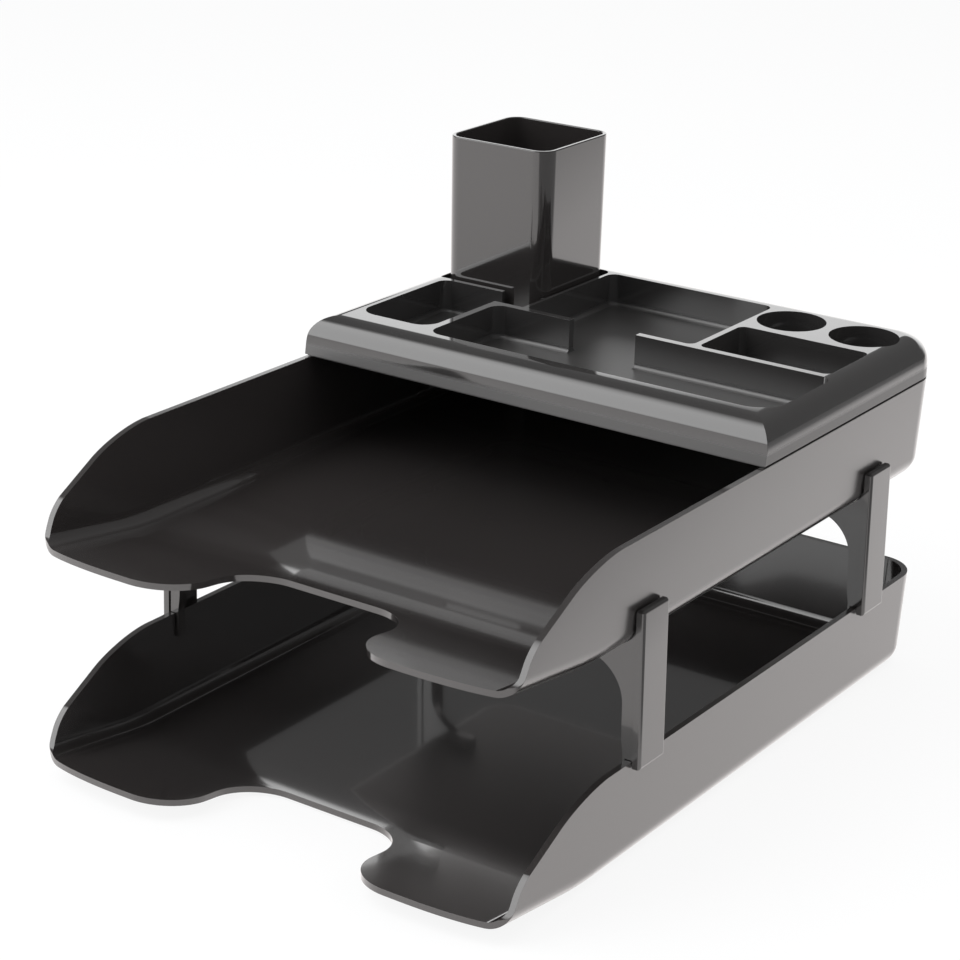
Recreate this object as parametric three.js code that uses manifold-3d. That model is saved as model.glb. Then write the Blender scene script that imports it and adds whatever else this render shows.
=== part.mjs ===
import * as THREE from "three";
import { mergeVertices } from "three/addons/utils/BufferGeometryUtils.js";
import Module from "manifold-3d";

const wasm = await Module();
wasm.setup();

// Two-tier letter rack: two open-front letter trays on four side risers, a drawer organiser that
// closes the rear half of the upper tray, and a loose pencil cup in the organiser.
// Millimetres, +Z up, +X to the object's right, the open front faces -Y.

// Trays
const trayWidth = 260;
const trayLength = 374;
const trayWall = 3;
const trayFloor = 3;
const wallHeight = 50.2;
const wallDraft = 2;
const bottomRound = 10;
const rearCorner = 19;
const upperSetBack = 2.5;
const tierPitch = 102.6;

// Front of a tray: the floor rises to the lip, and a hand notch splits it
const rampLength = 64;
const rampSlope = 0.133;
const lipStraight = 9;
const lipCornerDeep = 11.5;
const notchHalfWidth = 47;
const notchDepth = 54;
const notchLipRound = 24;
const notchInnerRound = 23;
const lipEdgeHeight = 12.4;
const wallFrontSetBack = 12;
const wallFrontHeight = 16.5;
const sweepMiddle = 36;
const sweepMiddleHeight = 37.3;
const sweepEnd = 84;

// Risers
const riserWidth = 20.5;
const riserStrip = 4;
const frontRiserSetBack = 95.3;
const rearRiserSetBack = 302.8;
const riserFootDrop = 3;
const riserTopRise = 18;
const riserEdgeRound = 2.2;
const riserEndRound = 1.2;
const webTopDrop = 2;
const saddleHeight = 6;
const riserWeb = 5;
const webRecess = 0.8;
const webCradleEase = 1;
const tongueDrop = 12;
const tongueWall = 2.2;
const bracketReach = 33;
const bracketTip = 7;
const bracketDrop = 21;
const bracketBend = 20;

// Organiser
const organiserLength = 177;
const organiserHeight = 20.3;
const organiserSkin = 2.5;
const sideRoll = 13;
const frontRoll = 10;
const frontLean = 1.6;
const pocketDepth = 17;
const pocketFloor = 2;
const pocketWall = 2;
const lipWall = 2;
const lipDrop = 4;

// Compartments of the organiser: the land left outside them and their own sizes
const frontLand = 17;
const rearLand = 12.2;
const cupSideLand = 9.9;
const clipSideLand = 15;
const clipFrontLand = 23.5;
const clipPocketWidth = 43;
const clipPartition = 2.6;
const passageWidth = 23.4;
const penTrayLeftLand = 62;
const penTrayRightLand = 9;
const penTrayLength = 60;
const penPartition = 4;
const memoWellWall = 1.7;
const memoRearLand = 15;
const memoPartition = 1.9;
const fingerGapSetIn = 28.8;
const fingerGapWidth = 38.2;
const paperClipPartition = 3.4;
const paperClipSideLand = 12.5;
const paperClipLength = 42;
const wellRadius = 17.3;
const wellRearLand = 13.9;
const wellSideLand = 10;
const wellSpacing = 40.1;

// Pencil cup
const cupWidth = 62.3;
const cupHeight = 91.2;
const cupWall = 2;
const cupTaper = 0.6;
const cupFootRound = 1.5;
const cupCorner = 9;
const cupStandsOff = 0.8;

// Clearances
const touchGap = 0.3;
const slideGap = 0.6;
const cupEase = 1.45;

const halfWidth = trayWidth / 2;
const lowerFront = -(trayLength + upperSetBack) / 2;
const upperFront = lowerFront + upperSetBack;
const upperRear = upperFront + trayLength;

// A three.js geometry as a solid for the boolean operations.
function solid(geometry) {
  const bare = geometry.index ? geometry.toNonIndexed() : geometry.clone();
  bare.deleteAttribute("normal");
  bare.deleteAttribute("uv");
  const merged = mergeVertices(bare, 1e-4);
  return new wasm.Manifold(
    new wasm.Mesh({
      numProp: 3,
      vertProperties: merged.attributes.position.array,
      triVerts: new Uint32Array(merged.index.array),
    }),
  );
}

// A solid back as a three.js geometry.
function geometryOf(body) {
  const mesh = body.getMesh();
  const points = new Float32Array(mesh.numVert * 3);
  for (let i = 0; i < mesh.numVert; i++) {
    const start = i * mesh.numProp;
    points.set(mesh.vertProperties.subarray(start, start + 3), i * 3);
  }
  return new THREE.BufferGeometry()
    .setAttribute("position", new THREE.BufferAttribute(points, 3))
    .setIndex(new THREE.BufferAttribute(new Uint32Array(mesh.triVerts), 1));
}

// The same solid with every point moved by a function.
function bent(body, move) {
  const geometry = geometryOf(body);
  const position = geometry.getAttribute("position");
  const point = new THREE.Vector3();
  for (let i = 0; i < position.count; i++) {
    point.fromBufferAttribute(position, i);
    move(point);
    position.setXYZ(i, point.x, point.y, point.z);
  }
  return solid(geometry);
}

// The mirror image of a solid in the plane x = 0, with its faces turned back outwards.
function mirrored(body) {
  const geometry = geometryOf(body);
  geometry.scale(-1, 1, 1);
  const corners = geometry.index.array;
  for (let i = 0; i < corners.length; i += 3) {
    [corners[i + 1], corners[i + 2]] = [corners[i + 2], corners[i + 1]];
  }
  return solid(geometry);
}

// A rectangle with its own radius at each corner: front left, front right, rear right, rear left.
function plate(x0, x1, y0, y1, radii) {
  const [frontLeft, frontRight, rearRight, rearLeft] = radii;
  const shape = new THREE.Shape();
  shape.moveTo(x0 + frontLeft, y0);
  shape.lineTo(x1 - frontRight, y0);
  if (frontRight) {
    shape.absarc(x1 - frontRight, y0 + frontRight, frontRight, -Math.PI / 2, 0);
  }
  shape.lineTo(x1, y1 - rearRight);
  if (rearRight) {
    shape.absarc(x1 - rearRight, y1 - rearRight, rearRight, 0, Math.PI / 2);
  }
  shape.lineTo(x0 + rearLeft, y1);
  if (rearLeft) {
    shape.absarc(x0 + rearLeft, y1 - rearLeft, rearLeft, Math.PI / 2, Math.PI);
  }
  shape.lineTo(x0, y0 + frontLeft);
  if (frontLeft) {
    shape.absarc(x0 + frontLeft, y0 + frontLeft, frontLeft, Math.PI, 1.5 * Math.PI);
  }
  return shape;
}

// An upright prism from z0 to z1.
function prism(shape, z0, z1, curveSegments = 6) {
  const geometry = new THREE.ExtrudeGeometry(shape, {
    depth: z1 - z0,
    bevelEnabled: false,
    curveSegments,
  });
  geometry.translate(0, 0, z0);
  return solid(geometry);
}

// A prism along X of a shape drawn in (y, z).
function prismAlongX(shape, x0, x1, curveSegments = 6) {
  const geometry = new THREE.ExtrudeGeometry(shape, {
    depth: x1 - x0,
    bevelEnabled: false,
    curveSegments,
  });
  geometry.rotateY(Math.PI / 2);
  geometry.rotateX(Math.PI / 2);
  geometry.translate(x0, 0, 0);
  return solid(geometry);
}

// A prism along Y of a shape drawn in (x, z), from y0 to y1.
function prismAlongY(shape, y0, y1, curveSegments = 6) {
  const geometry = new THREE.ExtrudeGeometry(shape, {
    depth: y1 - y0,
    bevelEnabled: false,
    curveSegments,
  });
  geometry.rotateX(Math.PI / 2);
  geometry.translate(0, y1, 0);
  return solid(geometry);
}

function block(x0, x1, y0, y1, z0, z1) {
  const geometry = new THREE.BoxGeometry(x1 - x0, y1 - y0, z1 - z0);
  geometry.translate((x0 + x1) / 2, (y0 + y1) / 2, (z0 + z1) / 2);
  return solid(geometry);
}

// A prism whose two ends are rounded by a quarter circle, from z0 to z1.
function pillow(shape, z0, z1, round, roundSegments, curveSegments = 6) {
  const geometry = new THREE.ExtrudeGeometry(shape, {
    depth: z1 - z0 - 2 * round,
    bevelEnabled: true,
    bevelThickness: round,
    bevelSize: round,
    bevelOffset: -round,
    bevelSegments: roundSegments,
    curveSegments,
  });
  geometry.translate(0, 0, z0 + round);
  return solid(geometry);
}

// Tray, drawn with its front lip at y = 0 and its underside at z = 0
const openFront = -40;
const roundSegments = 5;

function trayTub(inset, z0) {
  const corner = rearCorner - inset;
  const outline = plate(
    -halfWidth + inset,
    halfWidth - inset,
    openFront,
    trayLength - inset,
    [0, 0, corner, corner],
  );
  return pillow(outline, z0, wallHeight + 3 * bottomRound, bottomRound - inset, roundSegments);
}

// Seen from above: two lips with rounded corners and the notch between them.
function trayPlan() {
  const shape = new THREE.Shape();
  const edge = halfWidth + 1;
  const lipCentre = notchHalfWidth + notchLipRound;
  const lipCornerAcross = halfWidth - lipCentre - lipStraight;
  const notchCentre = notchHalfWidth - notchInnerRound;
  const lipTurn = halfWidth - lipCornerAcross;
  shape.moveTo(-edge, lipCornerDeep);
  shape.lineTo(-halfWidth, lipCornerDeep);
  shape.absellipse(-lipTurn, lipCornerDeep, lipCornerAcross, lipCornerDeep, Math.PI, 1.5 * Math.PI);
  shape.lineTo(-lipCentre, 0);
  shape.absarc(-lipCentre, notchLipRound, notchLipRound, -Math.PI / 2, 0);
  shape.lineTo(-notchHalfWidth, notchDepth - notchInnerRound);
  shape.absarc(-notchCentre, notchDepth - notchInnerRound, notchInnerRound, Math.PI, Math.PI / 2, true);
  shape.lineTo(notchCentre, notchDepth);
  shape.absarc(notchCentre, notchDepth - notchInnerRound, notchInnerRound, Math.PI / 2, 0, true);
  shape.lineTo(notchHalfWidth, notchLipRound);
  shape.absarc(lipCentre, notchLipRound, notchLipRound, Math.PI, 1.5 * Math.PI);
  shape.lineTo(lipTurn, 0);
  shape.absellipse(lipTurn, lipCornerDeep, lipCornerAcross, lipCornerDeep, -Math.PI / 2, 0);
  shape.lineTo(edge, lipCornerDeep);
  shape.lineTo(edge, trayLength + 1);
  shape.lineTo(-edge, trayLength + 1);
  return shape;
}

// Seen from the side: the wall top runs level, then sweeps down to the lip.
function wallProfile() {
  const shape = new THREE.Shape();
  shape.moveTo(trayLength + 1, wallHeight);
  shape.lineTo(sweepEnd, wallHeight);
  shape.bezierCurveTo(
    sweepEnd - 22,
    wallHeight,
    sweepMiddle + 14,
    sweepMiddleHeight + 7.7,
    sweepMiddle,
    sweepMiddleHeight,
  );
  shape.bezierCurveTo(
    sweepMiddle - 10,
    sweepMiddleHeight - 5.5,
    wallFrontSetBack + 0.5,
    wallFrontHeight + 9.5,
    wallFrontSetBack,
    wallFrontHeight,
  );
  shape.quadraticCurveTo(wallFrontSetBack - 1, lipEdgeHeight, 0, lipEdgeHeight);
  shape.lineTo(openFront, lipEdgeHeight);
  shape.lineTo(openFront, -1);
  shape.lineTo(trayLength + 1, -1);
  return shape;
}

function tray() {
  const shell = trayTub(0, 0).subtract(trayTub(trayWall, trayFloor));
  const high = wallHeight + 4 * bottomRound;
  const front = bent(
    shell.intersect(block(-halfWidth - 1, halfWidth + 1, openFront - 1, rampLength, -1, high)),
    (p) => {
      p.z += rampSlope * (rampLength - p.y);
    },
  );
  const rear = shell.intersect(
    block(-halfWidth - 1, halfWidth + 1, rampLength, trayLength + 1, -1, high),
  );
  const cut = front
    .add(rear)
    .intersect(prism(trayPlan(), -2, high, 7))
    .intersect(prismAlongX(wallProfile(), -halfWidth - 2, halfWidth + 2, 8));
  return bent(cut, (p) => {
    const lean = wallDraft * (1 - p.z / wallHeight);
    p.x -= (lean * p.x) / halfWidth;
    p.y -= (lean * p.y) / trayLength;
  });
}

// Riser for the right side, with its -Y face at y = 0 and z as in the whole object.
// The strip runs outside both walls, the web plate at its front carries the upper tray.
function riser() {
  const inner = halfWidth + touchGap;
  const outer = inner + riserStrip;
  const wallTop = wallHeight;
  const underside = tierPitch - touchGap;
  const top = tierPitch + riserTopRise;
  const foot = wallTop - riserFootDrop;
  const slotInner = halfWidth - trayWall - touchGap - (wallDraft * tongueDrop) / wallHeight;
  const legInner = slotInner - tongueWall;

  const strip = pillow(
    plate(inner, outer, 0, riserWidth, [0, riserEdgeRound, riserEdgeRound, 0]),
    foot,
    top,
    riserEndRound,
    2,
    4,
  );

  // The web seen from the front: it cradles the upper tray's rounded corner and straddles the
  // lower tray's wall.
  const web = new THREE.Shape();
  const tipX = halfWidth - bracketReach;
  const cradleLow = halfWidth - bottomRound - wallDraft;
  const cradleHigh = halfWidth - wallDraft + webCradleEase;
  const cradleZ = tierPitch + bottomRound;
  web.moveTo(outer - riserStrip / 2, wallTop + touchGap);
  web.lineTo(outer - riserStrip / 2, top - webTopDrop);
  web.lineTo(cradleHigh, top - webTopDrop);
  web.lineTo(cradleHigh, cradleZ);
  web.absellipse(
    cradleLow,
    cradleZ,
    cradleHigh - cradleLow,
    cradleZ - underside,
    0,
    -Math.PI / 2,
    true,
  );
  web.lineTo(tipX, underside);
  web.lineTo(tipX, underside - bracketTip);
  web.bezierCurveTo(
    tipX + bracketBend,
    underside - bracketTip,
    legInner,
    underside - bracketTip,
    legInner,
    underside - bracketTip - bracketDrop,
  );
  web.lineTo(legInner, wallTop - tongueDrop);
  web.lineTo(slotInner, wallTop - tongueDrop);
  web.lineTo(slotInner, wallTop + touchGap);
  const plateWeb = prismAlongY(web, webRecess, webRecess + riserWeb, 7);

  // Its head is thicker and reaches up to the upper tray's side.
  const saddle = block(
    cradleHigh,
    inner + riserStrip / 2,
    riserEndRound,
    riserWidth - riserEndRound,
    top - saddleHeight,
    top - riserEndRound,
  );
  return strip.add(plateWeb).add(saddle);
}

// Organiser, drawn with its front at y = 0 and its rim at z = 0
function organiserTub(inset, z0, z1) {
  const corner = rearCorner - inset;
  const outline = plate(
    -halfWidth + inset,
    halfWidth - inset,
    openFront,
    organiserLength - inset,
    [0, 0, corner, corner],
  );
  const turned = pillow(outline, z0 - 3 * sideRoll, z1, sideRoll - inset, roundSegments);
  const keep = block(-halfWidth - 1, halfWidth + 1, openFront - 1, organiserLength + 1, z0, z1 + 1);
  return turned.intersect(keep);
}

function organiserFront(inset, z0, z1) {
  const shape = new THREE.Shape();
  const round = frontRoll - inset;
  shape.moveTo(inset, z0);
  shape.lineTo(organiserLength + 1, z0);
  shape.lineTo(organiserLength + 1, z1);
  shape.lineTo(frontLean + frontRoll, z1);
  shape.absarc(frontLean + frontRoll, z1 - round, round, Math.PI / 2, Math.PI);
  return prismAlongX(shape, -halfWidth - 1, halfWidth + 1, 6);
}

// The hollows of the organiser: left, right, front, rear edge and the corner radii.
const cupPocketWidth = cupWidth + 2 * cupEase;
const cupLeft = -halfWidth + cupSideLand;
const cupRight = cupLeft + cupPocketWidth;
const cupRear = organiserLength - rearLand;
const cupFront = cupRear - cupPocketWidth;
const clipLeft = -halfWidth + clipSideLand;
const clipRight = clipLeft + clipPocketWidth;
const penRear = frontLand + penTrayLength;
const middleFront = penRear + penPartition;
const wellX = halfWidth - wellSideLand - wellRadius;
const wellY = organiserLength - wellRearLand - wellRadius;
const memoLeft = cupRight + memoPartition;
const memoRight = wellX - wellSpacing - wellRadius - memoWellWall;
const gapLeft = memoLeft + fingerGapSetIn;
const paperClipLeft = memoRight + paperClipPartition;
const sliver = 0.5;
const pockets = [
  [clipLeft, clipRight, clipFrontLand, cupFront - clipPartition, [10, 10, 2, 6]],
  [cupRight - passageWidth, cupRight, middleFront, cupFront + sliver, [sliver, sliver, sliver, sliver]],
  [cupLeft, cupRight, cupFront, cupRear, [3, 3, 5, 5]],
  [-halfWidth + penTrayLeftLand, halfWidth - penTrayRightLand, frontLand, penRear, [8, 14, 4, 7]],
  [memoLeft, memoRight, middleFront, organiserLength - memoRearLand, [4, 4, 5, 5]],
  [
    gapLeft,
    gapLeft + fingerGapWidth,
    penRear - penPartition,
    middleFront + penPartition,
    [sliver, sliver, sliver, sliver],
  ],
  [
    paperClipLeft,
    halfWidth - paperClipSideLand,
    middleFront,
    middleFront + paperClipLength,
    [4, 4, 4, 4],
  ],
];
const wells = [
  [wellX - wellSpacing, wellY],
  [wellX, wellY],
];

function organiser() {
  const top = organiserHeight;
  const pocketZ = top - pocketDepth;
  const outer = organiserTub(0, 0, top).intersect(organiserFront(0, 0, top));
  const innerTop = top - organiserSkin;
  const inner = organiserTub(organiserSkin, -1, innerTop).intersect(
    organiserFront(organiserSkin, -1, innerTop),
  );
  let body = outer.subtract(inner);
  for (const [x0, x1, y0, y1, radii] of pockets) {
    const grown = radii.map((r) => r + pocketWall);
    const wall = plate(x0 - pocketWall, x1 + pocketWall, y0 - pocketWall, y1 + pocketWall, grown);
    body = body.add(prism(wall, pocketZ - pocketFloor, top - 1, 4).intersect(outer));
  }
  for (const [x, y] of wells) {
    const wall = new THREE.CylinderGeometry(
      wellRadius + pocketWall,
      wellRadius + pocketWall,
      pocketDepth + pocketFloor - 1,
      24,
    );
    wall.rotateX(Math.PI / 2);
    wall.translate(x, y, (pocketZ - pocketFloor + top - 1) / 2);
    body = body.add(solid(wall).intersect(outer));
  }
  for (const [x0, x1, y0, y1, radii] of pockets) {
    body = body.subtract(prism(plate(x0, x1, y0, y1, radii), pocketZ, top + 1, 4));
  }
  for (const [x, y] of wells) {
    const hollow = new THREE.CylinderGeometry(wellRadius, wellRadius, pocketDepth + 1, 24);
    hollow.rotateX(Math.PI / 2);
    hollow.translate(x, y, (pocketZ + top + 1) / 2);
    body = body.subtract(solid(hollow));
  }
  return body.add(locatingLip());
}

// A rib inside the tray's left, right and rear walls keeps the organiser in place.
function locatingLip() {
  const outside = trayWall + slideGap;
  const inside = outside + lipWall;
  const reach = organiserSkin - 0.4;
  const start = frontRoll + 4;
  function ring(gap, z0, z1) {
    const corner = rearCorner - gap;
    const hole = rearCorner - inside;
    const rim = plate(
      -halfWidth + gap,
      halfWidth - gap,
      start,
      organiserLength - gap,
      [0, 0, corner, corner],
    );
    const core = plate(
      -halfWidth + inside,
      halfWidth - inside,
      start - 1,
      organiserLength - inside,
      [0, 0, hole, hole],
    );
    return prism(rim, z0, z1).subtract(prism(core, z0 - 1, z1 + 1));
  }
  return ring(outside, -lipDrop, 2).add(ring(reach, 0.6, 2.6));
}

// Pencil cup, drawn with its foot at z = 0
function cup() {
  const half = cupWidth / 2;
  function square(inset) {
    const side = half - inset;
    const corner = cupCorner - inset;
    return plate(-side, side, -side, side, [corner, corner, corner, corner]);
  }
  const outside = pillow(square(0), 0, cupHeight + 2 * cupFootRound, cupFootRound, 2).intersect(
    block(-half - 1, half + 1, -half - 1, half + 1, -1, cupHeight),
  );
  const hollow = prism(square(cupWall), cupWall, cupHeight + 1);
  return bent(outside.subtract(hollow), (p) => {
    const shrink = 1 - (cupTaper / half) * (1 - p.z / cupHeight);
    p.x *= shrink;
    p.y *= shrink;
  });
}

function glossBlack(shade) {
  return new THREE.MeshStandardMaterial({ color: shade, roughness: 0.18, metalness: 0 });
}

function part(name, body, shade) {
  const geometry = geometryOf(body).toNonIndexed();
  geometry.computeVertexNormals();
  const mesh = new THREE.Mesh(geometry, glossBlack(shade));
  mesh.name = name;
  return mesh;
}

const rack = new THREE.Group();
rack.name = "letter_rack";

const lowerTray = part("lower_tray", tray(), 0x1b1918);
lowerTray.position.set(0, lowerFront, 0);
rack.add(lowerTray);

const upperTray = part("upper_tray", tray(), 0x1b1918);
upperTray.position.set(0, upperFront, tierPitch);
rack.add(upperTray);

const rightRiser = riser();
const leftRiser = mirrored(rightRiser);
for (const [row, setBack] of [
  ["front", frontRiserSetBack],
  ["rear", rearRiserSetBack],
]) {
  for (const [side, body] of [
    ["left", leftRiser],
    ["right", rightRiser],
  ]) {
    const mesh = part(`riser_${row}_${side}`, body, 0x1d1b1a);
    mesh.position.set(0, lowerFront + setBack, 0);
    rack.add(mesh);
  }
}

const organiserTop = part("organiser", organiser(), 0x1b1918);
const organiserSeat = tierPitch + wallHeight + touchGap;
organiserTop.position.set(0, upperRear - touchGap - organiserLength, organiserSeat);
rack.add(organiserTop);

// The loose cup stands a little to the left and to the back in its pocket.
const pencilCup = part("pencil_cup", cup(), 0x1d1b1a);
pencilCup.position.set(
  (cupLeft + cupRight) / 2 - cupStandsOff,
  upperRear - touchGap - organiserLength + (cupFront + cupRear) / 2 + cupStandsOff,
  organiserSeat + organiserHeight - pocketDepth + touchGap,
);
rack.add(pencilCup);

export default rack;
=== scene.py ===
# Two-tier letter rack in gloss black plastic: two open-front trays on four risers,
# an organiser over the rear half of the upper tray, and a loose pencil cup.
# Metres, +Z up, the open front faces -Y.
import bpy
import bmesh
import math
from mathutils import Matrix, Vector


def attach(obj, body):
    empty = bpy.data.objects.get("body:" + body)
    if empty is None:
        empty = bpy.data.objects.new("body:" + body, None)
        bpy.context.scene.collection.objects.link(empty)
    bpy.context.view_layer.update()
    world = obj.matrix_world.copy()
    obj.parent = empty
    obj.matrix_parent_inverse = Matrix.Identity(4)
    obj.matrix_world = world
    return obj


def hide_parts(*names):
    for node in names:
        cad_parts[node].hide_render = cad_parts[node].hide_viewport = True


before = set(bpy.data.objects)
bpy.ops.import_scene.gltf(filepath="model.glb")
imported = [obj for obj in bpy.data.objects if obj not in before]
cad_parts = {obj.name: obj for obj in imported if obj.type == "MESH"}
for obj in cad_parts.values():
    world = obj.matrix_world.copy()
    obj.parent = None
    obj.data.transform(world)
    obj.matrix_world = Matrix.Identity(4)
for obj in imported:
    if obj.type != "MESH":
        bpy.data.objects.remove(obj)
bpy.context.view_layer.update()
scene = bpy.context.scene
print("stage: frame loaded", len(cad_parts), "nodes")

mm = 0.001


# Node helpers

# Gives each input, by its name or number, a value or the output that feeds it.
def feed(tree, node, inputs):
    for name, value in inputs.items():
        if isinstance(value, bpy.types.NodeSocket):
            tree.links.new(value, node.inputs[name])
        else:
            node.inputs[name].default_value = value


def addNode(tree, kind, inputs=None, **settings):
    node = tree.nodes.new(kind)
    for name, value in settings.items():
        setattr(node, name, value)
    feed(tree, node, inputs or {})
    return node


def mapped(tree, value, start, end, low=0.0, high=1.0, ease="LINEAR"):
    inputs = {"Value": value, "From Min": start, "From Max": end, "To Min": low, "To Max": high}
    return addNode(tree, "ShaderNodeMapRange", inputs, interpolation_type=ease).outputs["Result"]


def computed(tree, operation, *values):
    return addNode(tree, "ShaderNodeMath", dict(enumerate(values)), operation=operation).outputs[0]


def product(tree, first, *others):
    for other in others:
        first = computed(tree, "MULTIPLY", first, other)
    return first


def mixedShader(tree, factor, first, second):
    return addNode(tree, "ShaderNodeMixShader", {0: factor, 1: first, 2: second}).outputs[0]


def axesOf(tree, output):
    place = addNode(tree, "ShaderNodeTexCoord").outputs[output]
    return addNode(tree, "ShaderNodeSeparateXYZ", {0: place}).outputs


# Materials

plastic = {
    "ior": 1.53,
    "coatRough": 0.05,
    "coatIor": 1.6,
    "bump": 0.012,
    "bumpDepth": 0.002,
    "flowStretch": (6.0, 2.2, 9.0),
    "flowScale": 1.6,
    "cloudScale": 9.0,
    "cloudRange": (0.3, 0.7),
    "rippleScale": 26.0,
    "dustAmount": 0.05,
    "dustScale": 1900.0,
    "dustRange": (0.70, 0.78),
    "dustColour": (0.32, 0.31, 0.30, 1),
}
finishes = {
    "trayBlack": {
        "colour": (0.022, 0.020, 0.0195, 1), "warm": (0.032, 0.028, 0.027, 1),
        "roughLow": 0.09, "roughHigh": 0.16,
    },
    "riserBlack": {
        "colour": (0.018, 0.017, 0.0165, 1), "warm": (0.026, 0.023, 0.022, 1),
        "roughLow": 0.12, "roughHigh": 0.2,
    },
    "organiserBlack": {
        "colour": (0.020, 0.0195, 0.0195, 1), "warm": (0.028, 0.026, 0.025, 1),
        "roughLow": 0.06, "roughHigh": 0.1,
    },
    "cupBlack": {
        "colour": (0.018, 0.0165, 0.016, 1), "warm": (0.026, 0.023, 0.022, 1),
        "roughLow": 0.07, "roughHigh": 0.12,
    },
}


# Slight unevenness of a moulded gloss surface: slow waves in the gloss, a little dust and faint flow.
def mouldedSurfaceGroup():
    group = bpy.data.node_groups.new("mouldedSurface", "ShaderNodeTree")
    for name, kind, value in (
        ("Rough Low", "NodeSocketFloat", 0.1),
        ("Rough High", "NodeSocketFloat", 0.2),
        ("Colour", "NodeSocketColor", (0.02, 0.02, 0.02, 1)),
        ("Warm Colour", "NodeSocketColor", (0.03, 0.03, 0.03, 1)),
        ("Dust", "NodeSocketFloat", 0.05),
    ):
        group.interface.new_socket(name=name, in_out="INPUT", socket_type=kind).default_value = value
    for name, kind in (
        ("Base Color", "NodeSocketColor"), ("Roughness", "NodeSocketFloat"), ("Height", "NodeSocketFloat"),
    ):
        group.interface.new_socket(name=name, in_out="OUTPUT", socket_type=kind)
    given = addNode(group, "NodeGroupInput").outputs
    place = addNode(group, "ShaderNodeTexCoord").outputs["Object"]
    stretched = addNode(group, "ShaderNodeMapping", {"Vector": place, "Scale": plastic["flowStretch"]})

    def noise(vector, scale, detail, rough=0.5):
        inputs = {"Vector": vector, "Scale": scale, "Detail": detail, "Roughness": rough}
        return addNode(group, "ShaderNodeTexNoise", inputs).outputs["Fac"]

    flow = noise(stretched.outputs["Vector"], plastic["flowScale"], 2.0)
    cloud = noise(place, plastic["cloudScale"], 3.0)
    speck = noise(place, plastic["dustScale"], 1.0, 0.4)
    ripple = noise(place, plastic["rippleScale"], 1.0)

    inputs = {0: flow, 6: given["Colour"], 7: given["Warm Colour"]}
    tint = addNode(group, "ShaderNodeMix", inputs, data_type="RGBA").outputs[2]
    dust = product(group, mapped(group, speck, *plastic["dustRange"]), given["Dust"])
    dusty = addNode(group, "ShaderNodeMix", {0: dust, 6: tint, 7: plastic["dustColour"]}, data_type="RGBA")
    rough = mapped(group, cloud, *plastic["cloudRange"], given["Rough Low"], given["Rough High"])
    height = computed(group, "ADD", flow, ripple)
    addNode(group, "NodeGroupOutput", {"Base Color": dusty.outputs[2], "Roughness": rough, "Height": height})
    return group


mouldedSurface = mouldedSurfaceGroup()


def glossBlack(name):
    finish = finishes[name]
    mat = bpy.data.materials.new(name)
    mat.use_nodes = True
    tree = mat.node_tree
    inputs = {
        "Colour": finish["colour"], "Warm Colour": finish["warm"], "Rough Low": finish["roughLow"],
        "Rough High": finish["roughHigh"], "Dust": plastic["dustAmount"],
    }
    surface = addNode(tree, "ShaderNodeGroup", inputs, node_tree=mouldedSurface).outputs
    inputs = {"Height": surface["Height"], "Strength": plastic["bump"], "Distance": plastic["bumpDepth"]}
    relief = addNode(tree, "ShaderNodeBump", inputs)
    feed(tree, tree.nodes["Principled BSDF"], {
        "Base Color": surface["Base Color"], "Roughness": surface["Roughness"],
        "Normal": relief.outputs["Normal"], "IOR": plastic["ior"], "Metallic": 0.0, "Coat Weight": 1.0,
        "Coat Roughness": plastic["coatRough"], "Coat IOR": plastic["coatIor"],
    })
    mat.diffuse_color = finish["colour"]
    return mat


# Makes a material satin where a value of its own lies past the start, and fully so from the full value on.
def satinWhere(mat, value, start, full, rough):
    tree = mat.node_tree
    mask = mapped(tree, value, start, full)
    for name in ("Roughness", "Coat Roughness"):
        socket = tree.nodes["Principled BSDF"].inputs[name]
        gloss = socket.links[0].from_socket if socket.links else socket.default_value
        blend = addNode(tree, "ShaderNodeMix", {0: mask, 2: gloss, 3: rough}, data_type="FLOAT")
        tree.links.new(blend.outputs[0], socket)


trayBlack, riserBlack, organiserBlack, cupBlack = [glossBlack(name) for name in finishes]


# Shaping helpers, in millimetres until a piece is placed

clean = {
    "merge": 0.02, "flatAngle": 0.004, "edgeAngle": 0.6, "creaseAngle": math.radians(35), "normalWeight": 50,
}
past = 5  # how far a cutter runs past what it cuts


def addObject(bm, name):
    data = bpy.data.meshes.new(name)
    bm.to_mesh(data)
    bm.free()
    obj = bpy.data.objects.new(name, data)
    scene.collection.objects.link(obj)
    return obj


def applyModifiers(obj):
    graph = bpy.context.evaluated_depsgraph_get()
    result = bpy.data.meshes.new_from_object(obj.evaluated_get(graph))
    old = obj.data
    obj.modifiers.clear()
    obj.data = result
    bpy.data.meshes.remove(old)
    return obj


# Boolean steps, one cutter after another: taken together, cutters that overlap can leave a stray face.
def combine(base, cutters, operation):
    for cutter in cutters:
        step = base.modifiers.new("combine", "BOOLEAN")
        step.operation = operation
        step.solver = "EXACT"
        step.object = cutter
        applyModifiers(base)
        bpy.data.objects.remove(cutter)
    return base


def near(a, b):
    return abs(a - b) < 1e-3


# Whether an edge or a face lies wholly at one value of an axis.
def lies(part, axis, value):
    return all(near(getattr(v.co, axis), value) for v in part.verts)


# Rounds the edges that a test picks.
def roundEdges(bm, test, reach, segments, clamp=False):
    picked = [e for e in bm.edges if test(e)]
    if picked:
        bmesh.ops.bevel(
            bm, geom=picked, offset=reach, offset_type="OFFSET", segments=segments, profile=0.5,
            affect="EDGES", material=-1, clamp_overlap=clamp,
        )


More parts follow.
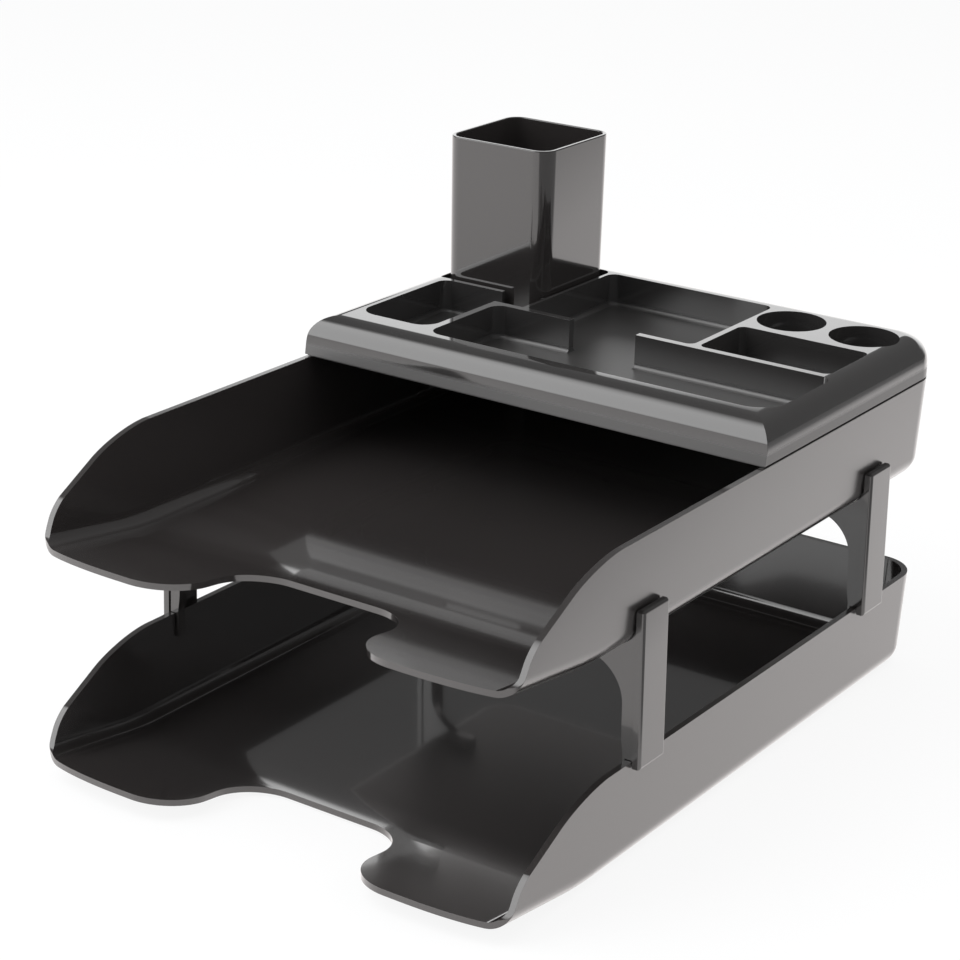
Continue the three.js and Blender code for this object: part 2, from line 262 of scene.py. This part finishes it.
# A straight-sided block from a flat outline. Each corner is (x, y, reach of its rounding).
def slab(corners, low, high, segments=12):
    bm = bmesh.new()
    face = bm.faces.new([bm.verts.new((x, y, low)) for x, y, reach in corners])
    grown = bmesh.ops.extrude_face_region(bm, geom=[face])
    top = [v for v in grown["geom"] if isinstance(v, bmesh.types.BMVert)]
    bmesh.ops.translate(bm, verts=top, vec=(0, 0, high - low))
    for x, y, reach in corners:
        if reach:
            roundEdges(bm, lambda e: lies(e, "x", x) and lies(e, "y", y), reach, segments)
    bmesh.ops.recalc_face_normals(bm, faces=bm.faces)
    return bm


# The same with the outline drawn in (y, z) and the block running along X, or in (x, z) and along Y.
def slabAlongX(corners, low, high, segments=12):
    bm = slab(corners, low, high, segments)
    turn = Matrix(((0, 0, 1), (1, 0, 0), (0, 1, 0)))
    bmesh.ops.rotate(bm, cent=(0, 0, 0), matrix=turn, verts=bm.verts)
    return bm


def slabAlongY(corners, low, high, segments=12):
    bm = slab(corners, -high, -low, segments)
    turn = Matrix(((1, 0, 0), (0, 0, -1), (0, 1, 0)))
    bmesh.ops.rotate(bm, cent=(0, 0, 0), matrix=turn, verts=bm.verts)
    return bm


def boxMesh(x0, x1, y0, y1, z0, z1):
    bm = bmesh.new()
    bmesh.ops.create_cube(bm, size=1)
    bmesh.ops.scale(bm, vec=(x1 - x0, y1 - y0, z1 - z0), verts=bm.verts)
    bmesh.ops.translate(bm, vec=((x0 + x1) / 2, (y0 + y1) / 2, (z0 + z1) / 2), verts=bm.verts)
    return bm


# Cleans a cut shape and softens every edge sharper than the angle.
def softenEdges(obj, reach, segments, angle=clean["edgeAngle"], test=None):
    bm = bmesh.new()
    bm.from_mesh(obj.data)
    bmesh.ops.remove_doubles(bm, verts=bm.verts, dist=clean["merge"])
    bmesh.ops.dissolve_degenerate(bm, edges=bm.edges, dist=clean["merge"])
    bmesh.ops.dissolve_limit(bm, angle_limit=clean["flatAngle"], verts=bm.verts, edges=bm.edges)
    roundEdges(
        bm,
        lambda e: len(e.link_faces) == 2 and e.calc_face_angle(0) > angle and (not test or test(e)),
        reach,
        segments,
        True,
    )
    bm.to_mesh(obj.data)
    bm.free()
    return obj


def mirrored(obj):
    bm = bmesh.new()
    bm.from_mesh(obj.data)
    bmesh.ops.scale(bm, vec=(-1, 1, 1), verts=bm.verts)
    bmesh.ops.recalc_face_normals(bm, faces=bm.faces)
    bm.to_mesh(obj.data)
    bm.free()
    return obj


# Puts a piece at its place in metres, smooth shaded with flat faces kept flat.
def finishPiece(obj, place, material, body, replaced):
    obj.data.transform(Matrix.Scale(mm, 4) @ Matrix.Translation(place))
    obj.data.materials.clear()
    obj.data.materials.append(material)
    for face in obj.data.polygons:
        face.use_smooth = True
    obj.data.set_sharp_from_angle(angle=clean["creaseAngle"])
    weigh = obj.modifiers.new("weigh", "WEIGHTED_NORMAL")
    weigh.mode = "FACE_AREA"
    weigh.weight = clean["normalWeight"]
    weigh.keep_sharp = True
    applyModifiers(obj)
    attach(obj, body)
    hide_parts(replaced)
    return obj


# Trays

tray = {
    "width": 260, "length": 374, "wall": 3, "height": 50.2, "draft": 2, "bottomRound": 10, "rearCorner": 19,
    "upperSetBack": 2.5, "tierPitch": 102.6, "blankFront": 40, "blankTop": 30, "rimRound": 0.7,
    "rampLength": 64, "rampSlope": 0.133, "rampBlend": 12, "rampSlice": 4, "rampSlicesPast": 2,
    "lipAcross": 50, "lipDeep": 11.5, "lipSteps": 24, "lipEdge": 12.4,
    "notchHalf": 47, "notchDepth": 54, "notchLipRound": 24, "notchInnerRound": 23,
    "fallStart": 59.4, "fallStartRound": 20, "fallBend": 15.9, "fallBendHeight": 26.3, "fallBendRound": 6.3,
    "fallEnd": 9.1, "fallEndRound": 4,
    "satinFrom": 0.1, "satinFull": 0.12, "wallRough": 0.24,
    "dullFrom": -0.5, "dullFull": -0.8, "underRough": 0.55,
}
halfWidth = tray["width"] / 2
lowerFront = -(tray["length"] + tray["upperSetBack"]) / 2
upperFront = lowerFront + tray["upperSetBack"]
upperRear = upperFront + tray["length"]


# The long outer walls are satin: there the normal points away from the middle, so the place's X times
# the normal's X is large. The underside is as it leaves the mould, less polished.
def dullTrayOutside():
    tree = trayBlack.node_tree
    outward = product(tree, axesOf(tree, "Object")["X"], axesOf(tree, "Normal")["X"])
    satinWhere(trayBlack, outward, tray["satinFrom"], tray["satinFull"], tray["wallRough"])
    downward = axesOf(tree, "Normal")["Z"]
    satinWhere(trayBlack, downward, tray["dullFrom"], tray["dullFull"], tray["underRough"])


# How far the floor has risen at a distance from the lip; the bend is eased over rampBlend.
def rampRise(y):
    along = tray["rampLength"] - y
    blend = tray["rampBlend"]
    if along <= -blend:
        return 0.0
    if along >= blend:
        return tray["rampSlope"] * along
    return tray["rampSlope"] * (along + blend) ** 2 / (4 * blend)


# Walls and floor of one thickness with a ramp to the front, before the lips are cut.
def trayShell(name):
    front = -tray["blankFront"]
    length = tray["length"]
    tall = tray["height"] + tray["blankTop"]
    bm = boxMesh(-halfWidth, halfWidth, front, length, 0, tall)
    roundEdges(
        bm, lambda e: lies(e, "y", length) and near(e.verts[0].co.x, e.verts[1].co.x), tray["rearCorner"], 14
    )
    roundEdges(bm, lambda e: lies(e, "z", 0) and not lies(e, "y", front), tray["bottomRound"], 10)
    opened = [f for f in bm.faces if lies(f, "z", tall)] + [f for f in bm.faces if lies(f, "y", front)]
    bmesh.ops.delete(bm, geom=opened, context="FACES")
    rampEnd = tray["rampLength"] + tray["rampBlend"]
    for i in range(int(rampEnd / tray["rampSlice"]) + tray["rampSlicesPast"] + 1):
        bmesh.ops.bisect_plane(
            bm, geom=list(bm.verts) + list(bm.edges) + list(bm.faces),
            plane_co=(0, rampEnd - i * tray["rampSlice"], 0), plane_no=(0, 1, 0),
        )
    bmesh.ops.recalc_face_normals(bm, faces=bm.faces)
    shell = addObject(bm, name)
    thick = shell.modifiers.new("thick", "SOLIDIFY")
    thick.thickness = tray["wall"]
    thick.offset = -1
    thick.use_even_offset = True
    applyModifiers(shell)
    for v in shell.data.vertices:
        v.co.z += rampRise(v.co.y)
    return shell


# From above: two lips with an elliptical front corner, and the wide notch between them.
def trayPlan():
    edge = halfWidth + 1
    notch, across, deep = tray["notchHalf"], tray["lipAcross"], tray["lipDeep"]
    right = [(notch, tray["notchDepth"], tray["notchInnerRound"]), (notch, 0, tray["notchLipRound"])]
    for i in range(tray["lipSteps"] + 1):
        turned = math.pi / 2 * i / tray["lipSteps"]
        right.append((halfWidth - across * (1 - math.sin(turned)), deep * (1 - math.cos(turned)), 0))
    right += [(edge, deep, 0), (edge, tray["length"] + 1, 0)]
    tall = tray["height"] + tray["blankTop"]
    return slab([(-x, y, r) for x, y, r in right] + right[::-1], -past, tall + 3 * past, 16)


# From the side: the walls' top edge is level and falls away to the front in one curve.
def trayProfile():
    rear, height, lip = tray["length"] + 2, tray["height"], tray["lipEdge"]
    return slabAlongX(
        [
            (rear, -past, 0), (rear, height, 0), (tray["fallStart"], height, tray["fallStartRound"]),
            (tray["fallBend"], tray["fallBendHeight"], tray["fallBendRound"]),
            (tray["fallEnd"], lip, tray["fallEndRound"]), (-10 * past, lip, 0), (-10 * past, -past, 0),
        ],
        -halfWidth - 3, halfWidth + 3, 16,
    )


def trayPiece(name):
    shell = trayShell(name)
    combine(shell, [addObject(trayPlan(), "plan")], "INTERSECT")
    combine(shell, [addObject(trayProfile(), "profile")], "INTERSECT")
    for v in shell.data.vertices:
        lean = tray["draft"] * (1 - v.co.z / tray["height"])
        v.co.x -= lean * v.co.x / halfWidth
        v.co.y -= lean * v.co.y / tray["length"]
    return softenEdges(shell, tray["rimRound"], 3)


dullTrayOutside()
for name, y, z, body in (
    ("lower_tray", lowerFront, 0, "base"),
    ("upper_tray", upperFront, tray["tierPitch"], "upper_tray"),
):
    piece = trayPiece(name + "Shell")
    finishPiece(piece, (0, y, z), trayBlack, body, name)
    print("stage:", name, len(piece.data.polygons), "faces")


# Risers

riser = {
    "width": 20.5, "strip": 4, "frontSetBack": 95.3, "rearSetBack": 302.8, "footDrop": 3, "topRise": 18,
    "gap": 0.3, "edgeRound": 1.4, "softRound": 0.4, "topLean": 1.2, "leanCurve": 1.3,
    "web": 5, "webFront": 0.8, "webBite": 2, "cradleBite": 0.2, "cradleRound": 15.5, "cradleBevel": 1.8,
    "cradleGap": 0.1, "reach": 33, "tip": 7, "bracketRound": 20, "kneeRise": 9, "kneeStep": 1, "kneeRound": 3,
    "ankleRise": 2, "ankleRound": 1.5, "tongueDrop": 12, "tongueWall": 1.2,
    "saddleFoot": 106, "saddleFront": 1.8, "saddleBack": 0.6, "saddleSteps": 10,
}
riserInner = halfWidth + riser["gap"]
riserOuter = riserInner + riser["strip"]
riserFoot = tray["height"] - riser["footDrop"]
riserTop = tray["tierPitch"] + riser["topRise"]
cradleFoot = tray["tierPitch"] - riser["gap"]


# The web stands across the strip: a tongue inside the lower wall, a leg, and the bracket under the cradle.
def riserWeb():
    wallTop, gap, bend, front = tray["height"], riser["gap"], riser["cradleRound"], riser["webFront"]
    slot = halfWidth - tray["wall"] - gap - tray["draft"] * riser["tongueDrop"] / wallTop
    leg = slot - riser["tongueWall"]
    knee = leg - riser["kneeStep"]
    tipX = halfWidth - riser["reach"]
    outer = riserOuter - riser["webBite"]
    inner = riserInner + riser["cradleBite"]
    top = riserTop - riser["webBite"]
    web = slabAlongY(
        [
            (outer, wallTop + gap, 0), (outer, top, 0), (inner, top, 0), (inner, cradleFoot, bend),
            (tipX, cradleFoot, 0), (tipX, cradleFoot - riser["tip"], 0),
            (knee, cradleFoot - riser["tip"], riser["bracketRound"]),
            (knee, wallTop + riser["kneeRise"], riser["kneeRound"]),
            (leg, wallTop + riser["ankleRise"], riser["ankleRound"]), (leg, wallTop - riser["tongueDrop"], 0),
            (slot, wallTop - riser["tongueDrop"], 0), (slot, wallTop + gap, 0),
        ],
        front, front + riser["web"], 14,
    )
    roundEdges(
        web,
        lambda e: lies(e, "y", front)
        and all(cradleFoot - 0.01 < v.co.z < top - 1 and v.co.x < inner + 0.01 for v in e.verts),
        riser["cradleBevel"], 4,
    )
    return web


# The saddle carries the cradle's curve on over the whole width of the riser.
def riserSaddle():
    bend, outer = riser["cradleRound"], riserOuter - riser["webBite"]
    middle = cradleFoot + bend
    low = math.acos((middle - riser["saddleFoot"]) / bend)
    steps = riser["saddleSteps"]
    curve = [low + (math.pi / 2 - low) * i / steps for i in range(steps + 1)]
    return slabAlongY(
        [(outer, riser["saddleFoot"], 0)]
        + [(riserInner - bend + bend * math.sin(a), middle - bend * math.cos(a), 0) for a in curve]
        + [(outer, middle, 0)],
        riser["saddleFront"], riser["width"] - riser["saddleBack"], 4,
    )


# The upper tray's bottom corner with a little play around it, drafted as the tray is.
def cradleRoom():
    play = riser["cradleGap"]
    left = halfWidth - riser["reach"] - past
    foot, wall, top = tray["tierPitch"] - play, halfWidth + play, riserTop + past
    room = slabAlongY(
        [(left, foot, 0), (wall, foot, tray["bottomRound"] + play), (wall, top, 0), (left, top, 0)],
        -past, riser["width"] + past, 20,
    )
    for v in room.verts:
        v.co.x -= tray["draft"] * (1 - (v.co.z - tray["tierPitch"]) / tray["height"]) * v.co.x / halfWidth
    return room


def riserPiece(name):
    bm = boxMesh(riserInner, riserOuter, 0, riser["width"], riserFoot, riserTop)
    roundEdges(bm, lambda e: lies(e, "x", riserOuter) or lies(e, "z", riserTop), riser["edgeRound"], 5)
    strip = addObject(bm, name)
    combine(strip, [addObject(riserWeb(), "web"), addObject(riserSaddle(), "saddle")], "UNION")
    for v in strip.data.vertices:
        up = max(0, (v.co.z - riserFoot) / (riserTop - riserFoot))
        v.co.x -= riser["topLean"] * up ** riser["leanCurve"]
    combine(strip, [addObject(cradleRoom(), "room")], "DIFFERENCE")
    return softenEdges(strip, riser["softRound"], 3)


for row, setBack in (("front", riser["frontSetBack"]), ("rear", riser["rearSetBack"])):
    for side in ("left", "right"):
        nodeName = "riser_" + row + "_" + side
        piece = riserPiece(nodeName + "Post")
        if side == "left":
            mirrored(piece)
        finishPiece(piece, (0, lowerFront + setBack, 0), riserBlack, "base", nodeName)
print("stage: risers")


# Organiser

# A pocket is (x low, x high, y low, y high, its four corner radii), from the organiser's front.
organiser = {
    "length": 177, "height": 20.3, "skin": 2.5, "seatGap": 0.3, "sideRoll": 13, "frontRoll": 10,
    "rearCorner": 19, "frontLean": 3.1, "blankFront": 40, "footStep": 1.1, "footRise": 0.8,
    "pocketDepth": 17, "floor": 2, "wall": 2, "floorRound": 2.5, "rimRound": 0.8,
    "mitreRound": 0.7, "mitreOut": 118, "mitreBack": 10.5,
    "pockets": {
        "clips": (-115, -72, 23.5, 97, (10, 10, 2, 6)),
        "besideCup": (-78.3, -54.9, 81, 100.1, (0.5, 0.5, 0.5, 0.5)),
        "cup": (-120.1, -54.9, 99.6, 164.8, (3, 3, 5, 5)),
        "pens": (-68, 121, 17, 77, (8, 14, 4, 7)),
        "memos": (-53, 43.6, 81, 162, (4, 4, 5, 5)),
        "fingerGap": (-24.2, 14, 73, 85, (0.5, 0.5, 0.5, 0.5)),
        "paperClips": (47, 117.5, 81, 123, (4, 4, 4, 4)),
    },
    "wellRadius": 17.3,
    "wells": [(62.6, 145.8), (102.7, 145.8)],
    "ribWall": 2, "ribDrop": 4, "ribTop": 2, "ribStart": 14, "slideGap": 0.6,
    "ledgeBite": 0.4, "ledgeLow": 0.9, "ledgeHigh": 2.6,
    "satinFrom": 4.1, "satinFull": 1.6, "pocketRough": 0.4,
}
organiserFront = upperRear - organiser["seatGap"] - organiser["length"]
organiserSeat = tray["tierPitch"] + tray["height"] + organiser["seatGap"]
pocketFloor = organiser["height"] - organiser["pocketDepth"]


# The floors of the pockets are satin; they lie low.
def dullPocketFloors():
    height = axesOf(organiserBlack.node_tree, "Object")["Z"]
    floorZ = organiserSeat + pocketFloor
    start, full = [(floorZ + organiser[name]) * mm for name in ("satinFrom", "satinFull")]
    satinWhere(organiserBlack, height, start, full, organiser["pocketRough"])


# The outside form, or with an inset the hollow that follows it.
def organiserForm(inset, low, high):
    length = organiser["length"] - inset
    front = -organiser["blankFront"]
    bm = boxMesh(-halfWidth + inset, halfWidth - inset, front, length, low, high)
    roundEdges(
        bm, lambda e: lies(e, "y", length) and near(e.verts[0].co.x, e.verts[1].co.x),
        organiser["rearCorner"] - inset, 14,
    )
    roundEdges(
        bm, lambda e: lies(e, "z", high) and not lies(e, "y", front), organiser["sideRoll"] - inset, 12
    )
    form = addObject(bm, "form")
    lean = slabAlongX(
        [
            (inset, low - 1, 0), (length + 2, low - 1, 0), (length + 2, high, 0),
            (inset + organiser["frontLean"], high, organiser["frontRoll"] - inset),
        ],
        -halfWidth - 2, halfWidth + 2, 12,
    )
    return combine(form, [addObject(lean, "lean")], "INTERSECT")


# The organiser's plan from a start in y, drawn in by a gap on its other sides.
def organiserPlan(gap, start, low, high):
    wide = halfWidth - gap
    length = organiser["length"] - gap
    corner = organiser["rearCorner"] - gap
    corners = [(-wide, start, 0), (wide, start, 0), (wide, length, corner), (-wide, length, corner)]
    return slab(corners, low, high, 14)


def pocketBlock(pocket, grow, low, high, floorRound=0):
    x0, x1, y0, y1, radii = pocket
    a, b, c, d = [r + grow for r in radii]
    x0, x1, y0, y1 = x0 - grow, x1 + grow, y0 - grow, y1 + grow
    bm = slab([(x0, y0, a), (x1, y0, b), (x1, y1, c), (x0, y1, d)], low, high, 8)
    if floorRound:
        roundEdges(bm, lambda e: lies(e, "z", low), floorRound, 4, True)
    return addObject(bm, "pocket")


def wellBlock(x, y, radius, low, high, floorRound=0):
    bm = bmesh.new()
    bmesh.ops.create_cone(
        bm, cap_ends=True, segments=56, radius1=radius, radius2=radius, depth=high - low,
        matrix=Matrix.Translation((x, y, (low + high) / 2)),
    )
    if floorRound:
        roundEdges(bm, lambda e: lies(e, "z", low), floorRound, 4)
    return addObject(bm, "well")


# A shell with the pockets and wells sunk into it, each inside a wall of its own.
def organiserShell():
    top, wall, rounding = organiser["height"], organiser["wall"], organiser["floorRound"]
    pockets, wells, radius = organiser["pockets"].values(), organiser["wells"], organiser["wellRadius"]
    low, high = pocketFloor - organiser["floor"], top + 3
    body = organiserForm(0, 0, top)
    hollow = organiserForm(organiser["skin"], -3, top - organiser["skin"])
    walls = [pocketBlock(pocket, wall, low, high) for pocket in pockets]
    walls += [wellBlock(x, y, radius + wall, low, high) for x, y in wells]
    combine(hollow, walls, "DIFFERENCE")
    combine(body, [hollow], "DIFFERENCE")
    hollows = [pocketBlock(pocket, 0, pocketFloor, high, rounding) for pocket in pockets]
    hollows += [wellBlock(x, y, radius, pocketFloor, high, rounding) for x, y in wells]
    return combine(body, hollows, "DIFFERENCE")


# A rib inside the tray's walls keeps the organiser in place; a ledge ties it to the shell.
def addLocatingRib(body):
    outside = tray["wall"] + organiser["slideGap"]
    inside = outside + organiser["ribWall"]
    start = organiser["ribStart"]
    for gap, low, high in (
        (outside, -organiser["ribDrop"], organiser["ribTop"]),
        (organiser["skin"] - organiser["ledgeBite"], organiser["ledgeLow"], organiser["ledgeHigh"]),
    ):
        rib = addObject(organiserPlan(gap, start, low, high), "rib")
        core = addObject(organiserPlan(inside, start - 1, low - 1, high + 1), "ribCore")
        combine(body, [combine(rib, [core], "DIFFERENCE")], "UNION")


# A low step along the foot leaves the dark line above the tray's wall tops.
def cutFootStep(body):
    step = organiser["footStep"]
    outer = addObject(organiserPlan(-past, -past, -0.1, organiser["footRise"]), "outer")
    kept = addObject(organiserPlan(step, step, -2, 2), "kept")
    combine(body, [combine(outer, [kept], "DIFFERENCE")], "DIFFERENCE")


# The mitre lies where the front roll meets a side roll.
def onMitre(e):
    return all(
        abs(v.co.x) > organiser["mitreOut"] and v.co.y < organiser["mitreBack"] and v.co.z > 0.01
        for v in e.verts
    )


def onRim(e):
    return min(v.co.z for v in e.verts) > organiser["height"] - 0.05


def organiserPiece():
    body = organiserShell()
    softenEdges(body, organiser["mitreRound"], 5, 0.25, onMitre)
    softenEdges(body, organiser["rimRound"], 3, 0.7, onRim)
    addLocatingRib(body)
    cutFootStep(body)
    return body


dullPocketFloors()
piece = organiserPiece()
finishPiece(piece, (0, organiserFront, organiserSeat), organiserBlack, "organiser", "organiser")
print("stage: organiser", len(piece.data.polygons), "faces")


# Pencil cup

cup = {
    "width": 62.3, "height": 91.2, "wall": 2, "taper": 0.6, "footRound": 1.5, "corner": 9, "x": -88.3,
    "setIn": 133, "rimRound": 0.5, "standGap": 0.3,
}


def cupPiece():
    half = cup["width"] / 2
    height = cup["height"]
    signs = ((-1, -1), (1, -1), (1, 1), (-1, 1))
    bm = slab([(x * half, y * half, cup["corner"]) for x, y in signs], 0, height)
    lid = [f for f in bm.faces if lies(f, "z", height)]
    bmesh.ops.inset_region(bm, faces=lid, thickness=cup["wall"], use_even_offset=True)
    lid = [f for f in lid if f.is_valid]
    grown = bmesh.ops.extrude_face_region(bm, geom=lid)
    bmesh.ops.delete(bm, geom=lid, context="FACES")
    floorVerts = [v for v in grown["geom"] if isinstance(v, bmesh.types.BMVert)]
    bmesh.ops.translate(bm, verts=floorVerts, vec=(0, 0, cup["wall"] - height))
    bmesh.ops.recalc_face_normals(bm, faces=bm.faces)
    roundEdges(bm, lambda e: lies(e, "z", 0), cup["footRound"], 4)
    roundEdges(bm, lambda e: lies(e, "z", height) and e.calc_face_angle(0) > 0.8, cup["rimRound"], 3)
    for v in bm.verts:
        shrink = 1 - (cup["taper"] / half) * (1 - v.co.z / height)
        v.co.x *= shrink
        v.co.y *= shrink
    return addObject(bm, "pencilCupPiece")


piece = cupPiece()
place = (cup["x"], organiserFront + cup["setIn"], organiserSeat + pocketFloor + cup["standGap"])
finishPiece(piece, place, cupBlack, "pencil_cup", "pencil_cup")
print("stage: cup")


# Floor, light and camera

# Gloss sees a studio of its own: a white sheet on the floor that ends to the right, a low backdrop
# behind, and a soft box to the front left. A box's fades are where it starts, is full, and ends.
studio = {
    "floorSize": 6.0, "floorDrop": 0.0002,
    "floorColour": (0.86, 0.86, 0.86, 1), "floorWhite": 0.88, "floorShadeInGloss": 0.2,
    "sheetColour": (1.0, 0.955, 0.94, 1), "sheetStrength": 1.24, "sheetRight": 0.262,
    "sheetSpread": 0.25, "sheetFar": 1.5, "sheetFades": (-0.5, 0.6),
    "softNear": 0.04, "softFar": 0.22, "softReach": 0.6,
    "worldColour": (0.97, 0.98, 1.0, 1), "worldStrength": 0.6, "dim": 0.2,
    "backdrop": 1.75, "backdropTop": 0.318, "backdropTopSoft": 0.012, "backdropRight": 0.12,
    "backdropRightFades": (0.2, -0.08), "backdropFrontFades": (-0.1, 0.1),
    "box": 3.2, "boxToward": (-0.556, -0.583, 0.593), "boxFacing": (0.05, 0.2),
    "boxSide": (0.724, -0.690, 0.0), "boxSideFades": (-0.55, -0.35, 0.4, 0.6),
    "boxUp": (0.409, 0.429, 0.806), "boxUpFades": (-0.85, -0.65, 0.25, 0.8),
}
lamps = {
    "topLight": {
        "place": (0.0, 0.1, 1.8), "target": (0, 0, 0.1), "size": (2.2, 2.2), "power": 16, "colour": (1, 1, 1),
    },
    "rightLight": {
        "place": (1.6, 0.6, 0.9), "target": (0, 0, 0.1), "size": (1.2, 1.2), "power": 6, "colour": (1, 1, 1),
    },
    "frontLeftLight": {
        "place": (-1.05, -1.1, 1.25), "target": (0, 0, 0.13), "size": (1.6, 2.3), "power": 38,
        "colour": (0.96, 0.98, 1.0),
    },
}
view = {
    "place": (0.630963, -0.94138, 0.545987),
    "yaw": 0.6016,
    "pitch": 0.3593,
    "roll": 0.0241,
    "lens": 96.54,
    "sensor": 36,
    "clipStart": 0.05,
    "clipEnd": 30,
}


# A pale floor that keeps the soft shadow; the camera sees it as nearly plain white.
def paleFloor():
    mat = bpy.data.materials.new("paleFloor")
    mat.use_nodes = True
    tree = mat.node_tree
    tree.nodes.clear()
    place = axesOf(tree, "Object")
    lit = addNode(tree, "ShaderNodeBsdfDiffuse", {"Color": studio["floorColour"]}).outputs[0]
    white = addNode(tree, "ShaderNodeEmission", {"Strength": 1.0}).outputs[0]
    # The sheet's right edge lies further out and is softer towards the rear.
    right, spread = studio["sheetRight"], studio["sheetSpread"] * studio["sheetFar"]
    edge = mapped(tree, place["Y"], 0.0, studio["sheetFar"], right, right + spread)
    soft = mapped(tree, place["Y"], 0.0, studio["softReach"], studio["softNear"], studio["softFar"])
    over = computed(tree, "DIVIDE", computed(tree, "SUBTRACT", place["X"], edge), soft)
    strength = mapped(tree, over, *studio["sheetFades"], studio["sheetStrength"], studio["dim"])
    inputs = {"Color": studio["sheetColour"], "Strength": strength}
    sheet = addNode(tree, "ShaderNodeEmission", inputs).outputs[0]
    path = addNode(tree, "ShaderNodeLightPath").outputs
    inGloss = mixedShader(tree, 1 - studio["floorShadeInGloss"], lit, sheet)
    toCamera = mixedShader(tree, studio["floorWhite"], lit, white)
    surface = mixedShader(tree, path["Is Glossy Ray"], lit, inGloss)
    surface = mixedShader(tree, path["Is Camera Ray"], surface, toCamera)
    addNode(tree, "ShaderNodeOutputMaterial", {"Surface": surface})
    return mat


def layFloor():
    bm = bmesh.new()
    bmesh.ops.create_grid(bm, x_segments=1, y_segments=1, size=studio["floorSize"])
    floor = addObject(bm, "floor")
    floor.data.transform(Matrix.Translation((0, 0, -studio["floorDrop"])))
    floor.data.materials.append(paleFloor())


# The soft box's light in a direction: its middle is boxToward, its sides run along boxSide and boxUp.
def softBoxMask(tree, direction):
    def along(vector):
        inputs = {0: direction, 1: vector}
        return addNode(tree, "ShaderNodeVectorMath", inputs, operation="DOT_PRODUCT").outputs["Value"]

    facing = along(studio["boxToward"])
    parts = []
    for name in ("boxSide", "boxUp"):
        across = computed(tree, "DIVIDE", along(studio[name]), facing)
        start, full, fullEnd, end = studio[name + "Fades"]
        parts.append(mapped(tree, across, start, full, ease="SMOOTHSTEP"))
        parts.append(mapped(tree, across, end, fullEnd, ease="SMOOTHSTEP"))
    return product(tree, *parts, mapped(tree, facing, *studio["boxFacing"], ease="SMOOTHSTEP"))


def studioWorld():
    world = bpy.data.worlds.new("studio")
    world.use_nodes = True
    tree = world.node_tree
    tree.nodes.clear()
    direction = addNode(tree, "ShaderNodeTexCoord").outputs["Generated"]
    axes = addNode(tree, "ShaderNodeSeparateXYZ", {0: direction}).outputs
    top, soft = studio["backdropTop"], studio["backdropTopSoft"]
    right = [studio["backdropRight"] + fade for fade in studio["backdropRightFades"]]
    backdrop = product(
        tree, mapped(tree, axes["Z"], top + soft, top - soft), mapped(tree, axes["X"], *right),
        mapped(tree, axes["Y"], *studio["backdropFrontFades"]),
    )
    level = mapped(tree, backdrop, 0.0, 1.0, studio["dim"], studio["backdrop"])
    strength = computed(tree, "MULTIPLY_ADD", softBoxMask(tree, direction), studio["box"], level)
    inGloss = addNode(tree, "ShaderNodeBackground", {"Strength": strength}).outputs[0]
    inputs = {"Color": studio["worldColour"], "Strength": studio["worldStrength"]}
    lit = addNode(tree, "ShaderNodeBackground", inputs).outputs[0]
    white = addNode(tree, "ShaderNodeBackground", {"Color": (1, 1, 1, 1), "Strength": 1.0}).outputs[0]
    path = addNode(tree, "ShaderNodeLightPath").outputs
    surface = mixedShader(tree, path["Is Glossy Ray"], lit, inGloss)
    surface = mixedShader(tree, path["Is Camera Ray"], surface, white)
    addNode(tree, "ShaderNodeOutputWorld", {"Surface": surface})
    return world


# A lamp lights the pieces but is never seen, not in the gloss either.
def areaLamp(name, values):
    lamp = bpy.data.lights.new(name, "AREA")
    lamp.shape = "RECTANGLE"
    lamp.size, lamp.size_y = values["size"]
    lamp.energy = values["power"]
    lamp.color = values["colour"]
    lampObject = bpy.data.objects.new(name, lamp)
    aim = Vector(values["target"]) - Vector(values["place"])
    turn = aim.to_track_quat("-Z", "Y").to_matrix().to_4x4()
    lampObject.matrix_world = Matrix.Translation(values["place"]) @ turn
    lampObject.visible_camera = False
    lampObject.visible_glossy = False
    scene.collection.objects.link(lampObject)


def placeCamera():
    cosYaw, sinYaw = math.cos(view["yaw"]), math.sin(view["yaw"])
    cosPitch, sinPitch = math.cos(view["pitch"]), math.sin(view["pitch"])
    forward = Vector((-sinYaw * cosPitch, cosYaw * cosPitch, -sinPitch))
    right = Vector((cosYaw, sinYaw, 0))
    up = right.cross(forward)
    rightRolled = math.cos(view["roll"]) * right + math.sin(view["roll"]) * up
    upRolled = -math.sin(view["roll"]) * right + math.cos(view["roll"]) * up
    camera = bpy.data.cameras.new("camera")
    camera.lens = view["lens"]
    camera.sensor_width = view["sensor"]
    camera.sensor_fit = "HORIZONTAL"
    camera.clip_start = view["clipStart"]
    camera.clip_end = view["clipEnd"]
    cameraObject = bpy.data.objects.new("camera", camera)
    turn = Matrix((rightRolled, upRolled, -forward)).transposed().to_4x4()
    cameraObject.matrix_world = Matrix.Translation(view["place"]) @ turn
    scene.collection.objects.link(cameraObject)
    scene.camera = cameraObject


layFloor()
scene.world = studioWorld()
for name, values in lamps.items():
    areaLamp(name, values)
placeCamera()
scene.view_settings.view_transform = "Standard"
print("stage: floor, light and camera ready")
